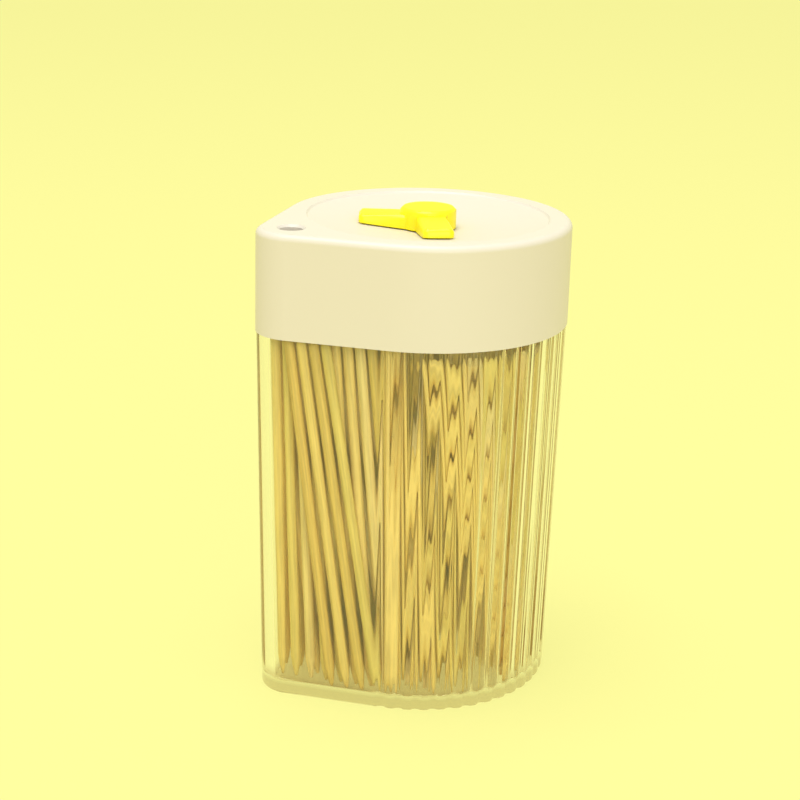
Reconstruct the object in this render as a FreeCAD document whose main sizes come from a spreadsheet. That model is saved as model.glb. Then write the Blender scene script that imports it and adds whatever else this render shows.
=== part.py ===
import FreeCAD, Part
import math
import os
import Sketcher
from FreeCAD import Placement, Rotation, Vector

# Table dispenser for toothpicks: a clear cup of teardrop plan, reeded round its round side, under a
# white push-fit lid. The yellow clock-hand knob turns a cam below the lid, and the cam draws a
# shutter back from the exit hole in the lid's corner.
# Frame: the knob's axis is Z, the underside of the cup is Z = 0, and the corner points along -X.
# Lengths are in millimetres and angles in degrees.

doc = FreeCAD.newDocument("toothpick_dispenser")
sheet = doc.addObject("Spreadsheet::Sheet", "dims")

DRIVING = [
    # plan and heights
    ("radius", 26.0, "round side of the lid, and the distance from the axis to each flat"),
    ("corner_radius", 7.6, "outer corner of the lid in plan"),
    ("shoulder_height", 68.1, "where the lid meets the cup"),
    ("total_height", 86.7, "flat rim on top of the lid"),
    # cup
    ("cup_inset", 0.2, "how far the cup stands inside the lid's outline at the shoulder"),
    ("draft_inset", 1.25, "how far the cup's outline draws in down to the base"),
    ("cup_wall", 2.2, "clear wall, from the crest of a reed to the cavity"),
    ("floor_thick", 2.0, "clear floor"),
    ("floor_bevel", 1.0, "bevel between cavity wall and floor"),
    ("base_bevel", 0.8, "bevel at the foot of the cup"),
    ("reed_count", 36.0, "reeds round the 270 degrees of the round side"),
    ("reed_radius", 1.45, "round section of one reed"),
    ("reed_proud", 0.75, "how far the reeds stand out of the wall between them"),
    ("step_bevel", 0.4, "edge of each flat where the reeds begin"),
    ("neck_height", 6.0, "collar that the lid pushes over"),
    ("neck_lead", 0.4, "bevel that starts the lid on the collar"),
    # lid
    ("lid_wall", 1.3, "side wall of the lid"),
    ("lid_gap", 0.1, "clearance of the lid all round the collar"),
    ("lid_seat_gap", 0.05, "gap between the lid's edge and the cup's shoulder"),
    ("lid_top_thick", 1.6, "top wall of the lid"),
    ("lid_edge_round", 1.2, "soft edge round the top of the lid"),
    ("dish_radius", 22.0, "round recess under the hands"),
    ("dish_step", 0.3, "small drop at the edge of the recess"),
    ("dish_depth", 3.0, "depth of the recess at the axis"),
    ("exit_radius", 2.2, "hole that one toothpick leaves by"),
    ("exit_distance", 27.6, "from the knob's axis to the exit hole"),
    ("exit_edge", 0.4, "bevelled edge of the exit hole"),
    ("chute_wall", 1.4, "wall of the short tube below the exit hole"),
    ("boss_wall", 1.25, "wall of the bearing boss round the stem"),
    # knob
    ("hub_radius", 5.05, "round middle of the hands"),
    ("hub_rise", 1.5, "top of the hub above the rim"),
    ("short_hand_length", 12.5, "tip of the short hand from the axis"),
    ("short_hand_width", 6.0, "width of the short hand"),
    ("short_hand_rise", 0.35, "top of the short hand above the rim"),
    ("short_hand_angle", 30.3, "from the exit hole to the short hand, clockwise seen from above"),
    ("long_hand_length", 16.0, "tip of the long hand from the axis"),
    ("long_hand_width", 5.5, "width of the long hand"),
    ("long_hand_rise", 0.75, "top of the long hand above the rim"),
    ("open_turn", 66.0, "clockwise turn that brings the long hand over the exit hole"),
    ("hand_corner", 1.0, "rounded corners at the tips, in plan"),
    ("hand_edge", 0.5, "bevelled upper edges of the hands and hub"),
    ("hand_gap", 0.25, "air between the hands and the recess below them"),
    ("hand_sink", 0.5, "depth by which the hub and hands are first made too deep, before the gap is cut"),
    ("stem_radius", 2.5, "stem that turns in the lid"),
    ("stem_gap", 0.05, "running clearance of the stem"),
    ("drive_radius", 2.0, "lower end of the stem, which has one flat"),
    ("drive_flat", 1.4, "from the axis to that flat"),
    # shutter and cam
    ("travel", 6.6, "how far the shutter slides to open"),
    ("shutter_thick", 1.6, "thickness of the shutter"),
    ("shutter_headroom", 0.3, "air between the recess's underside and the shutter"),
    ("blade_half_width", 3.8, "half the width of the shutter's blade"),
    ("frame_half_width", 6.4, "half the width of the shutter round the boss"),
    ("slide_gap", 0.12, "sliding clearance of the shutter"),
    ("frame_bridge", 1.5, "material beyond the frame's slot and pin"),
    ("pin_radius", 1.5, "follower pin below the shutter"),
    ("pin_start", 7.2, "from the axis to the pin, shut"),
    ("cam_thick", 2.4, "cam disc"),
    ("cam_groove_depth", 1.4, "spiral groove in the cam's upper face"),
    ("cam_rim", 1.6, "material outside the groove"),
    ("rail_setback", 3.1, "from the exit hole's centre to the near ends of the guide rails"),
    ("rail_cam_gap", 0.5, "air between the rails and the cam"),
    ("rail_thick", 1.2, "thickness of a rail and of its lip"),
    ("lip_reach", 1.1, "how far a lip reaches under the blade"),
    # fastener
    ("washer_radius", 3.2, "outer radius of the washer"),
    ("washer_thick", 0.5, "thickness of the washer"),
    ("screw_radius", 1.1, "core of the screw"),
    ("screw_head_radius", 2.3, "pan head of the screw"),
    ("screw_head_height", 1.7, "height of the pan head"),
    ("screw_length", 7.0, "screw under its head"),
    # toothpicks
    ("pick_length", 65.0, "one toothpick"),
    ("pick_radius", 1.0, "half of its diameter"),
    ("pick_point", 9.0, "length of each tapered point"),
    ("pick_tip_radius", 0.25, "blunt end of each point"),
    ("pick_gap", 0.1, "air left between neighbours, wall and floor"),
    ("pick_top_pitch", 2.25, "spacing of the upper points along a row"),
    ("pick_fan", 0.65, "extra spacing of the lower points along a row"),
    ("pick_lean", 8.4, "how far the first toothpick of every other row leans towards the corner"),
    ("pick_lean_between", 1.5, "the same, in the rows between, which stand straighter"),
    ("pick_rows", 4.0, "rows of toothpicks, one behind the other"),
    ("pick_sides", 8.0, "faces round a toothpick, split from the cane and hardly turned"),
]


class Size:
    """A length with the expression that binds it to the sheet."""

    def __init__(self, number, text):
        self.number = number
        self.text = text

    def __add__(self, other):
        other = as_size(other)
        return Size(self.number + other.number, "(%s + %s)" % (self.text, other.text))

    def __sub__(self, other):
        other = as_size(other)
        return Size(self.number - other.number, "(%s - %s)" % (self.text, other.text))

    def __mul__(self, other):
        other = as_size(other)
        return Size(self.number * other.number, "(%s * %s)" % (self.text, other.text))

    def __truediv__(self, other):
        other = as_size(other)
        return Size(self.number / other.number, "(%s / %s)" % (self.text, other.text))

    def __neg__(self):
        return Size(-self.number, "(-%s)" % self.text)

    def root(self):
        return Size(math.sqrt(self.number), "sqrt(%s)" % self.text)


def as_size(value):
    if isinstance(value, Size):
        return value
    return Size(float(value), repr(float(value)))


dim = {}
for row, (alias, number, note) in enumerate(DRIVING, start=1):
    sheet.set("A%d" % row, alias)
    sheet.set("B%d" % row, str(number))
    sheet.setAlias("B%d" % row, alias)
    sheet.set("C%d" % row, note)
doc.recompute()
for alias, number, note in DRIVING:
    dim[alias] = Size(float(sheet.get(alias)), "dims." + alias)

parts = []


def bind(thing, prop, value):
    """Sets a property of a feature from the sheet."""
    thing.setExpression(prop, as_size(value).text)


def new_body(label):
    body = doc.addObject("PartDesign::Body", label)
    body.Label = label
    parts.append(body)
    return body


def new_sketch(body, name, role, lift=None):
    """A sketch on one of the body's own origin planes, lifted along its normal."""
    plane = [item for item in body.Origin.OriginFeatures if item.Role == role][0]
    sketch = body.newObject("Sketcher::SketchObject", name)
    sketch.AttachmentSupport = [(plane, "")]
    sketch.MapMode = "FlatFace"
    if lift is not None:
        bind(sketch, "AttachmentOffset.Base.z", lift)
    return sketch


def hold(sketch, name, kind, *where):
    """Adds a dimension to a sketch and binds it: the last argument is its Size."""
    size = as_size(where[-1])
    index = sketch.addConstraint(Sketcher.Constraint(kind, *where[:-1], size.number))
    sketch.renameConstraint(index, name)
    sketch.setExpression("Constraints." + name, size.text)


def circle_sketch(body, name, lift, radius, along=0.0, across=0.0):
    sketch = new_sketch(body, name, "XY_Plane", lift)
    along = as_size(along)
    across = as_size(across)
    middle = Vector(along.number, across.number, 0)
    sketch.addGeometry(Part.Circle(middle, Vector(0, 0, 1), radius.number), False)
    hold(sketch, "radius", "Radius", 0, radius)
    hold(sketch, "along", "DistanceX", -1, 1, 0, 3, along)
    hold(sketch, "across", "DistanceY", -1, 1, 0, 3, across)
    return sketch


def teardrop_sketch(body, name, lift, reach, corner):
    """A circle about the axis whose two tangent flats meet in a rounded corner on -X."""
    sketch = new_sketch(body, name, "XY_Plane", lift)
    centre = (reach - corner) * math.sqrt(2)
    big = reach.number
    small = corner.number
    middle = Vector(-centre.number, 0, 0)
    diagonal = math.sqrt(0.5)
    round_low = Vector(-diagonal * big, -diagonal * big, 0)
    round_high = Vector(-diagonal * big, diagonal * big, 0)
    corner_low = middle + Vector(-diagonal * small, -diagonal * small, 0)
    corner_high = middle + Vector(-diagonal * small, diagonal * small, 0)
    axis = Vector(0, 0, 1)
    quarter = math.pi / 4
    sketch.addGeometry(Part.ArcOfCircle(Part.Circle(Vector(), axis, big), -3 * quarter, 3 * quarter), False)
    sketch.addGeometry(Part.LineSegment(round_high, corner_high), False)
    sketch.addGeometry(Part.ArcOfCircle(Part.Circle(middle, axis, small), 3 * quarter, 5 * quarter), False)
    sketch.addGeometry(Part.LineSegment(corner_low, round_low), False)
    sketch.addConstraint(Sketcher.Constraint("Coincident", 0, 3, -1, 1))
    sketch.addConstraint(Sketcher.Constraint("PointOnObject", 2, 3, -1))
    sketch.addConstraint(Sketcher.Constraint("Tangent", 0, 2, 1, 1))
    sketch.addConstraint(Sketcher.Constraint("Tangent", 1, 2, 2, 1))
    sketch.addConstraint(Sketcher.Constraint("Tangent", 2, 2, 3, 1))
    sketch.addConstraint(Sketcher.Constraint("Tangent", 3, 2, 0, 1))
    hold(sketch, "reach", "Radius", 0, reach)
    hold(sketch, "corner", "Radius", 2, corner)
    hold(sketch, "centre", "DistanceX", 2, 3, -1, 1, centre)
    return sketch


def outline_sketch(body, name, role, lift, points):
    """A closed outline of straight lines whose corners are each held by two dimensions."""
    sketch = new_sketch(body, name, role, lift)
    corners = [(as_size(along), as_size(up)) for along, up in points]
    count = len(corners)
    for index in range(count):
        start = Vector(corners[index][0].number, corners[index][1].number, 0)
        ahead = corners[(index + 1) % count]
        sketch.addGeometry(Part.LineSegment(start, Vector(ahead[0].number, ahead[1].number, 0)), False)
    for index in range(count):
        sketch.addConstraint(Sketcher.Constraint("Coincident", index, 2, (index + 1) % count, 1))
    for index, (along, up) in enumerate(corners):
        hold(sketch, "along%d" % index, "DistanceX", -1, 1, index, 1, along)
        hold(sketch, "up%d" % index, "DistanceY", -1, 1, index, 1, up)
    return sketch


def pad(body, name, sketch, length):
    feature = body.newObject("PartDesign::Pad", name)
    feature.Profile = sketch
    bind(feature, "Length", length)
    return feature


def pocket(body, name, sketch, length, upward=False):
    """Cuts from the sketch's plane down, or up where upward is set."""
    feature = body.newObject("PartDesign::Pocket", name)
    feature.Profile = sketch
    bind(feature, "Length", length)
    feature.Reversed = upward
    return feature


def loft(body, name, sections, cut=False):
    """A body through sections that lie one above the other."""
    feature = body.newObject("PartDesign::SubtractiveLoft" if cut else "PartDesign::AdditiveLoft", name)
    feature.Profile = sections[0]
    feature.Sections = sections[1:]
    feature.Ruled = True
    return feature


def draft_inward(body, name, block):
    """Leans every side of an upright block in by the draft, with the shoulder plane held."""
    doc.recompute()
    sides = []
    held = ""
    for index, face in enumerate(block.Shape.Faces, start=1):
        if abs(face.normalAt(0.5, 0.5).z) < 0.1:
            sides.append("Face%d" % index)
        elif near(face.CenterOfMass.z, dim["shoulder_height"].number):
            held = "Face%d" % index
    draft = body.newObject("PartDesign::Draft", name)
    draft.Base = (block, sides)
    draft.NeutralPlane = (block, [held])
    draft.Reversed = True
    draft.setExpression("Angle", "atan(dims.draft_inset / dims.shoulder_height)")
    return draft


def turn(body, name, sketch, angle=360.0, cut=False):
    """Revolves a profile drawn on the XZ plane about the body's Z axis."""
    feature = body.newObject("PartDesign::Groove" if cut else "PartDesign::Revolution", name)
    feature.Profile = sketch
    feature.ReferenceAxis = (sketch, ["V_Axis"])
    feature.Angle = angle
    feature.Midplane = True
    return feature


def edges_where(feature, test):
    """Names of the edges whose middle, length and kind pass a test."""
    names = []
    for index, edge in enumerate(feature.Shape.Edges, start=1):
        middle = edge.valueAt((edge.FirstParameter + edge.LastParameter) / 2)
        if test(edge, middle):
            names.append("Edge%d" % index)
    return names


def soften(body, name, feature, radius, test, kind="Fillet"):
    """Rounds or bevels the edges of a feature that pass a test."""
    doc.recompute()
    names = edges_where(feature, test)
    if not names:
        raise RuntimeError("no edges to soften for " + name)
    rounding = body.newObject("PartDesign::" + kind, name)
    rounding.Base = (feature, names)
    bind(rounding, "Radius" if kind == "Fillet" else "Size", radius)
    return rounding


def near(value, target, slack=0.02):
    return abs(value - target) < slack


# Sizes that several pieces share
lid_inside = dim["radius"] - dim["lid_wall"]
lid_inside_corner = dim["corner_radius"] - dim["lid_wall"]
lid_underside = dim["total_height"] - dim["lid_top_thick"]
dish_floor = dim["total_height"] - dim["dish_depth"]
dish_underside = dish_floor - dim["lid_top_thick"]
shutter_top = dish_underside - dim["shutter_headroom"]
shutter_bottom = shutter_top - dim["shutter_thick"]
cam_top = shutter_bottom - dim["slide_gap"]
cam_bottom = cam_top - dim["cam_thick"]
boss_radius = dim["stem_radius"] + dim["stem_gap"] + dim["boss_wall"]
cup_top_reach = dim["radius"] - dim["cup_inset"]
cup_base_reach = cup_top_reach - dim["draft_inset"]
cup_top_corner = dim["corner_radius"] - dim["cup_inset"]
cup_base_corner = cup_top_corner - dim["draft_inset"]
cavity_reach = cup_top_reach - dim["cup_wall"]
cavity_corner = cup_top_corner - dim["cup_wall"]
floor_reach = cup_base_reach - dim["cup_wall"]
floor_corner = cup_base_corner - dim["cup_wall"]

# The recess is a shallow cone that ends at the foot of the edge step
dish_edge_radius = dim["dish_radius"] - dim["dish_step"]
dish_slope = (dim["dish_depth"] - dim["dish_step"]) / dish_edge_radius
pin_end = dim["pin_start"] + dim["travel"]
groove_half_width = dim["pin_radius"] + dim["slide_gap"]
cam_radius = pin_end + groove_half_width + dim["cam_rim"]


def slot_sketch(body, name, lift, low, high, half_width):
    """A long hole or bar along X with round ends, between two end centres."""
    sketch = new_sketch(body, name, "XY_Plane", lift)
    axis = Vector(0, 0, 1)
    half = half_width.number
    first = Vector(low.number, 0, 0)
    last = Vector(high.number, 0, 0)
    up = Vector(0, half, 0)
    sketch.addGeometry(Part.ArcOfCircle(Part.Circle(last, axis, half), -math.pi / 2, math.pi / 2), False)
    sketch.addGeometry(Part.LineSegment(last + up, first + up), False)
    sketch.addGeometry(Part.ArcOfCircle(Part.Circle(first, axis, half), math.pi / 2, 3 * math.pi / 2), False)
    sketch.addGeometry(Part.LineSegment(first - up, last - up), False)
    for index in range(4):
        sketch.addConstraint(Sketcher.Constraint("Tangent", index, 2, (index + 1) % 4, 1))
    sketch.addConstraint(Sketcher.Constraint("PointOnObject", 0, 3, -1))
    sketch.addConstraint(Sketcher.Constraint("PointOnObject", 2, 3, -1))
    hold(sketch, "half_width", "Radius", 0, half_width)
    hold(sketch, "low", "DistanceX", -1, 1, 2, 3, low)
    hold(sketch, "high", "DistanceX", -1, 1, 0, 3, high)
    return sketch


def build_container():
    """Clear cup: drafted teardrop, reeds on the round side, collar for the lid, smooth cavity."""
    body = new_body("container")
    height = dim["shoulder_height"]
    shoulder = teardrop_sketch(body, "shoulder_outline", height, cup_top_reach, cup_top_corner)
    block = body.newObject("PartDesign::Pad", "block")
    block.Profile = shoulder
    block.Reversed = True
    bind(block, "Length", height)
    shell = draft_inward(body, "drafted_block", block)
    soften(body, "foot_bevel", shell, dim["base_bevel"], lambda edge, mid: near(mid.z, 0), kind="Chamfer")

    # The wall between the reeds lies back from the crests, over the 270 degrees of the round side
    overrun = as_size(1.0)
    lean_out = dim["draft_inset"] / height
    low = cup_base_reach - dim["reed_proud"] - lean_out * overrun
    high = cup_top_reach - dim["reed_proud"] + lean_out * overrun
    outside = cup_top_reach + overrun
    ring = outline_sketch(body, "wall_between_reeds", "XZ_Plane", None, [
        (low, -overrun), (outside, -overrun), (outside, height + overrun), (high, height + overrun)])
    setback = turn(body, "round_side_setback", ring, 270.0, cut=True)
    crest_height = height.number / 2
    soften(body, "step_bevel", setback, dim["step_bevel"],
           lambda edge, mid: edge.Length > crest_height and mid.x < 0
           and near(abs(mid.y) + mid.x, 0, 0.1)
           and math.hypot(mid.x, mid.y) > (low + high).number / 2 + dim["reed_proud"].number / 2,
           kind="Chamfer")

    first_angle = as_size(135.0) / dim["reed_count"] - 135.0
    sections = []
    for quarter in (0, 90):
        inset = dim["base_bevel"] * (1 - math.sin(math.radians(quarter)))
        level = dim["base_bevel"] * (1 - math.cos(math.radians(quarter)))
        sections.append(circle_sketch(body, "reed_foot_%d" % quarter, level, dim["reed_radius"] - inset,
                                      cup_base_reach - dim["reed_radius"] + lean_out * level))
    sections.append(circle_sketch(body, "reed_head", height, dim["reed_radius"],
                                  cup_top_reach - dim["reed_radius"]))
    for section in sections:
        bind(section, "AttachmentOffset.Rotation.Angle", first_angle)
    reed = loft(body, "reed", sections)
    reeds = body.newObject("PartDesign::PolarPattern", "reeds")
    reeds.Originals = [reed]
    reeds.Axis = ([item for item in body.Origin.OriginFeatures if item.Role == "Z_Axis"][0], [""])
    bind(reeds, "Angle", as_size(270.0) - as_size(270.0) / dim["reed_count"])
    bind(reeds, "Occurrences", dim["reed_count"])
    body.Tip = reeds

    # Collar that the lid pushes over
    collar_reach = lid_inside - dim["lid_gap"]
    collar_corner = lid_inside_corner - dim["lid_gap"]
    collar = teardrop_sketch(body, "collar_outline", height, collar_reach, collar_corner)
    neck = pad(body, "collar", collar, dim["neck_height"])
    neck_top = height + dim["neck_height"]
    bevelled = soften(body, "collar_lead", neck, dim["neck_lead"],
                      lambda edge, mid: near(mid.z, neck_top.number), kind="Chamfer")

    # Cavity: it narrows with the outside down to the floor, and runs straight up through the collar
    cavity_floor = teardrop_sketch(body, "cavity_floor", dim["floor_thick"], floor_reach, floor_corner)
    cavity_head = teardrop_sketch(body, "cavity_head", height, cavity_reach, cavity_corner)
    loft(body, "cavity", [cavity_floor, cavity_head], cut=True)
    mouth = teardrop_sketch(body, "mouth_outline", neck_top, cavity_reach, cavity_corner)
    opened = pocket(body, "mouth", mouth, dim["neck_height"])
    soften(body, "floor_bevel", opened, dim["floor_bevel"],
           lambda edge, mid: near(mid.z, dim["floor_thick"].number), kind="Chamfer")
    return body


def build_lid():
    """White lid: hollow teardrop cap with a dished top, exit chute, bearing boss and guide rails."""
    body = new_body("lid_shell")
    overrun = as_size(1.0)
    seat = dim["shoulder_height"] + dim["lid_seat_gap"]
    top = dim["total_height"]
    outline = teardrop_sketch(body, "lid_outline", seat, dim["radius"], dim["corner_radius"])
    block = pad(body, "lid_block", outline, top - seat)
    soften(body, "lid_soft_edge", block, dim["lid_edge_round"], lambda edge, mid: near(mid.z, top.number))
    inside = teardrop_sketch(body, "lid_inside", seat, lid_inside, lid_inside_corner)
    pocket(body, "lid_hollow", inside, lid_underside - seat, upward=True)

    # Underside of the dish
    merge = dim["lid_top_thick"] / 4.0
    centre = as_size(0)
    bulge_reach = (lid_underside - dish_underside) / dish_slope
    bulge = outline_sketch(body, "dish_underside", "XZ_Plane", None, [
        (centre, dish_underside), (bulge_reach, lid_underside),
        (bulge_reach, lid_underside + merge), (centre, lid_underside + merge)])
    turn(body, "dish_bulge", bulge)

    # Bearing boss, exit chute, and a guide rail with its lip on each side of the blade
    boss = circle_sketch(body, "boss_outline", shutter_bottom, boss_radius)
    pad(body, "boss", boss, lid_underside - shutter_bottom)
    chute_foot = shutter_top + dim["slide_gap"]
    chute_radius = dim["exit_radius"] + dim["chute_wall"]
    chute = circle_sketch(body, "chute_outline", chute_foot, chute_radius, -dim["exit_distance"])
    pad(body, "chute", chute, lid_underside + merge - chute_foot)
    rail_far = -(dim["exit_distance"] - dim["rail_setback"])
    rail_near = -(cam_radius + dim["rail_cam_gap"])
    inner_face = dim["blade_half_width"] + dim["slide_gap"]
    outer_face = inner_face + dim["rail_thick"]
    lip_top = shutter_bottom - dim["slide_gap"]
    lip_foot = lip_top - dim["rail_thick"]
    rail_plan = outline_sketch(body, "rail_plan", "XY_Plane", lip_foot, [
        (rail_far, inner_face), (rail_near, inner_face), (rail_near, outer_face), (rail_far, outer_face)])
    rail = pad(body, "rail", rail_plan, lid_underside + merge - lip_foot)
    lip_plan = outline_sketch(body, "lip_plan", "XY_Plane", lip_foot, [
        (rail_far, inner_face - dim["lip_reach"]), (rail_near, inner_face - dim["lip_reach"]),
        (rail_near, outer_face), (rail_far, outer_face)])
    lip = pad(body, "rail_lip", lip_plan, dim["rail_thick"])
    pair = body.newObject("PartDesign::Mirrored", "rail_pair")
    pair.Originals = [rail, lip]
    pair.MirrorPlane = ([item for item in body.Origin.OriginFeatures if item.Role == "XZ_Plane"][0], [""])
    body.Tip = pair

    # The dish, which also trims the boss and rails, then the bore for the stem and the exit hole
    dish = outline_sketch(body, "dish_profile", "XZ_Plane", None, [
        (centre, dish_floor), (dish_edge_radius, top - dim["dish_step"]), (dim["dish_radius"], top),
        (dim["dish_radius"], top + overrun), (centre, top + overrun)])
    turn(body, "dish", dish, cut=True)
    bore = circle_sketch(body, "stem_bore", top, dim["stem_radius"] + dim["stem_gap"])
    pocket(body, "stem_hole", bore, top - shutter_bottom + merge)
    exit_plan = circle_sketch(body, "exit_plan", top, dim["exit_radius"], -dim["exit_distance"])
    holed = pocket(body, "exit_hole", exit_plan, top - chute_foot + merge)
    exit_size = dim["exit_radius"].number
    soften(body, "exit_bevel", holed, dim["exit_edge"],
           lambda edge, mid: near(mid.z, top.number) and near(edge.Length, 2 * math.pi * exit_size, 0.2),
           kind="Chamfer")
    return body


def hand(body, name, length, width, rise, angle):
    """One flat hand of the knob, from the axis out to its tip, with rounded corners at the tip."""
    half = width / 2
    corner = dim["hand_corner"]
    plan = outline_sketch(body, name + "_plan", "XY_Plane", dish_floor - dim["hand_sink"], [
        (as_size(0), -half), (length, -half), (length, half), (as_size(0), half)])
    bind(plan, "AttachmentOffset.Rotation.Angle", angle)
    block = pad(body, name, plan, dim["total_height"] + rise - dish_floor + dim["hand_sink"])
    tip = Rotation(Vector(0, 0, 1), angle.number).multVec(Vector(length.number, 0, 0))
    reach = half.number + 0.1
    return soften(body, name + "_corners", block, corner,
                  lambda edge, mid: near(edge.tangentAt(edge.FirstParameter).z ** 2, 1)
                  and Vector(mid.x, mid.y, 0).distanceToPoint(tip) < reach)


def build_knob():
    """Yellow knob: a hub and two hands over the dish, and a stem down through the lid."""
    body = new_body("clock_knob")
    top = dim["total_height"]
    start = dish_floor - dim["hand_sink"]
    hub = circle_sketch(body, "hub_plan", start, dim["hub_radius"])
    pad(body, "hub", hub, top + dim["hub_rise"] - start)
    hand(body, "short_hand", dim["short_hand_length"], dim["short_hand_width"], dim["short_hand_rise"],
         as_size(180.0) - dim["short_hand_angle"])
    last = hand(body, "long_hand", dim["long_hand_length"], dim["long_hand_width"], dim["long_hand_rise"],
                as_size(180.0) + dim["open_turn"])
    tops = [top + dim[rise] for rise in ("hub_rise", "short_hand_rise", "long_hand_rise")]
    soften(body, "bevelled_upper_edges", last, dim["hand_edge"],
           lambda edge, mid: any(near(mid.z, level.number, 0.01) for level in tops)
           and near(edge.tangentAt(edge.FirstParameter).z, 0)
           and not (near(math.hypot(mid.x, mid.y), dim["hub_radius"].number, 0.05)
                    and mid.z < tops[0].number - 0.1),
           kind="Chamfer")

    # The undersides follow the dish at an even gap
    centre = as_size(0)
    reach = dim["long_hand_length"] + 1.0
    lower = start - 1.0
    above_floor = dish_floor + dim["hand_gap"]
    below = outline_sketch(body, "gap_section", "XZ_Plane", None, [
        (centre, above_floor), (reach, above_floor + dish_slope * reach), (reach, lower), (centre, lower)])
    turn(body, "dish_gap", below, cut=True)

    # Stem, its flatted lower end that drives the cam, and the pilot hole for the screw
    stem = circle_sketch(body, "stem_plan", cam_top, dim["stem_radius"])
    pad(body, "stem", stem, dish_floor + dim["hand_gap"] + dim["hand_sink"] - cam_top)
    drive_foot = cam_bottom + dim["slide_gap"]
    drive = circle_sketch(body, "drive_plan", drive_foot, dim["drive_radius"])
    pad(body, "drive", drive, cam_top - drive_foot)
    side = dim["drive_radius"] + 1.0
    flat = outline_sketch(body, "drive_flat_plan", "XY_Plane", cam_top, [
        (dim["drive_flat"], -side), (side, -side), (side, side), (dim["drive_flat"], side)])
    pocket(body, "drive_flat", flat, cam_top - drive_foot)
    pilot = circle_sketch(body, "pilot_plan", drive_foot, dim["screw_radius"] + dim["stem_gap"])
    pocket(body, "pilot_hole", pilot, dim["screw_length"], upward=True)
    return body


def spiral_point(fraction, offset):
    """A point of the groove, a fraction of the way along, set off sideways from its middle line.

    The middle line gains radius evenly with angle, so the pin moves evenly as the cam turns.
    """
    turned = math.radians(dim["open_turn"].number)
    angle = fraction * turned
    distance = dim["pin_start"].number + fraction * dim["travel"].number
    outward = Vector(math.cos(angle), math.sin(angle), 0)
    around = Vector(-math.sin(angle), math.cos(angle), 0)
    climb = dim["travel"].number / turned
    along = (outward * climb + around * distance).normalize()
    aside = Vector(along.y, -along.x, 0)
    return outward * distance + aside * offset


def build_cam():
    """Disc with a spiral groove for the shutter's pin and a flatted bore for the stem."""
    thick = dim["cam_thick"].number
    half = groove_half_width.number
    deep = dim["cam_groove_depth"].number
    disc = Part.makeCylinder(cam_radius.number, thick)
    steps = 16
    sides = []
    for offset in (half, -half):
        curve = Part.BSplineCurve()
        curve.interpolate([spiral_point(index / steps, offset) for index in range(steps + 1)])
        sides.append(curve.toShape())
    ends = []
    for fraction, reach in ((0.0, -1), (1.0, 1)):
        middle = spiral_point(fraction, 0)
        across = (spiral_point(fraction, half) - middle).normalize()
        tip = middle + Vector(-across.y, across.x, 0) * half * reach
        ends.append(Part.Arc(spiral_point(fraction, half), tip, spiral_point(fraction, -half)).toShape())
    groove_wire = Part.Wire(Part.__sortEdges__([sides[0], ends[1], sides[1], ends[0]]))
    groove = Part.Face(groove_wire).extrude(Vector(0, 0, deep))
    groove.translate(Vector(0, 0, thick - deep))
    gap = dim["stem_gap"].number
    bore = Part.makeCylinder(dim["drive_radius"].number + gap, thick)
    wide = dim["drive_radius"].number + 1.0
    flat_at = dim["drive_flat"].number + gap
    beyond_flat = Part.makeBox(wide, 2 * wide, thick, Vector(flat_at, -wide, 0))
    shape = disc.cut(groove).cut(bore.cut(beyond_flat))
    cam = doc.addObject("Part::Feature", "cam_disc")
    cam.Label = "cam_disc"
    cam.Shape = shape
    cam.Placement = Placement(Vector(0, 0, cam_bottom.number), Rotation())
    parts.append(cam)
    return cam


def build_shutter():
    """Flat slide: a blade that covers the exit hole, a slotted frame round the boss, and its pin."""
    body = new_body("shutter")
    slot_half = boss_radius + dim["slide_gap"]
    bridge = dim["frame_bridge"]
    frame_left = -(dim["travel"] + slot_half + bridge)
    frame_right = dim["pin_start"] + dim["pin_radius"] + bridge
    half = dim["frame_half_width"]
    frame_plan = outline_sketch(body, "frame_plan", "XY_Plane", shutter_bottom, [
        (frame_left, -half), (frame_right, -half), (frame_right, half), (frame_left, half)])
    frame = pad(body, "frame", frame_plan, dim["shutter_thick"])
    soften(body, "frame_corners", frame, bridge,
           lambda edge, mid: near(edge.tangentAt(edge.FirstParameter).z ** 2, 1))
    blade_plan = slot_sketch(body, "blade_plan", shutter_bottom, -dim["exit_distance"],
                             frame_left, dim["blade_half_width"])
    pad(body, "blade", blade_plan, dim["shutter_thick"])
    slot_plan = slot_sketch(body, "slot_plan", shutter_top, -dim["travel"], as_size(0), slot_half)
    pocket(body, "boss_slot", slot_plan, dim["shutter_thick"])
    pin = circle_sketch(body, "pin_plan", shutter_bottom - dim["cam_groove_depth"], dim["pin_radius"],
                        dim["pin_start"])
    pad(body, "follower_pin", pin, dim["cam_groove_depth"])
    return body


def build_washer():
    """Plain washer between the cam and the screw's head."""
    hole = dim["screw_radius"] + dim["slide_gap"]
    foot = cam_bottom - dim["washer_thick"]
    body = new_body("cam_washer")
    rim = circle_sketch(body, "washer_rim", foot, dim["washer_radius"])
    pad(body, "washer", rim, dim["washer_thick"])
    eye = circle_sketch(body, "washer_eye", cam_bottom, hole)
    pocket(body, "washer_hole", eye, dim["washer_thick"])
    return body


def build_screw():
    """Pan-head screw that holds the cam on the stem from below."""
    body = new_body("cam_screw")
    seat = cam_bottom - dim["washer_thick"]
    foot = seat - dim["screw_head_height"]
    point = seat + dim["screw_length"]
    crown = dim["screw_head_radius"] / 3
    profile = outline_sketch(body, "screw_profile", "XZ_Plane", None, [
        (as_size(0), foot), (dim["screw_head_radius"] - crown, foot),
        (dim["screw_head_radius"], foot + crown), (dim["screw_head_radius"], seat),
        (dim["screw_radius"], seat), (dim["screw_radius"], point - dim["screw_radius"]),
        (as_size(0.0), point)])
    turn(body, "screw", profile)
    return body


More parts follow.
